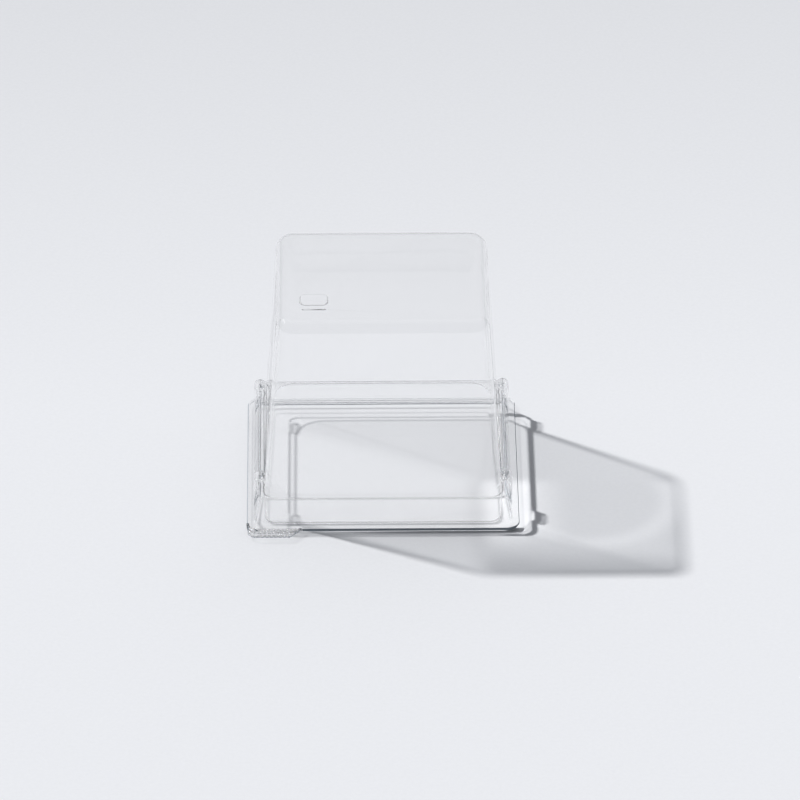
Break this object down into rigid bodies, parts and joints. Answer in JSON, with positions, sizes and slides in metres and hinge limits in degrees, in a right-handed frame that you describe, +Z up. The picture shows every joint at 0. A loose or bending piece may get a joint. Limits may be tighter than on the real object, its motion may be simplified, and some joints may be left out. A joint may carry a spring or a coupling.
{
  "type": "humidity dome tray",
  "caption": "Clear thermoformed humidity dome with rounded top, stepped rim with raised lugs and a knurled finger tab, closing over a shallow clear tray and lifting straight off it.",
  "frame": {"origin": "middle of the tray's underside, on the surface it stands on", "axes": "+Z up, +X along the wider side, -Y towards the front, where the finger tab is at the left"},
  "size_m": [0.1116, 0.1068, 0.093],
  "materials": {
    "tray_sheet": "clear thermoformed PET sheet, glossy",
    "dome_sheet": "clear thermoformed PET sheet, glossy"
  },
  "bodies": {
    "tray": {"tray": "tray_sheet"},
    "dome": {"dome": "dome_sheet"}
  },
  "joints": [
    {"name": "dome_lift", "type": "slide", "parent": "tray", "child": "dome", "axis": [0, 0, 1], "range_m": [0, 0.1]}
  ]
}
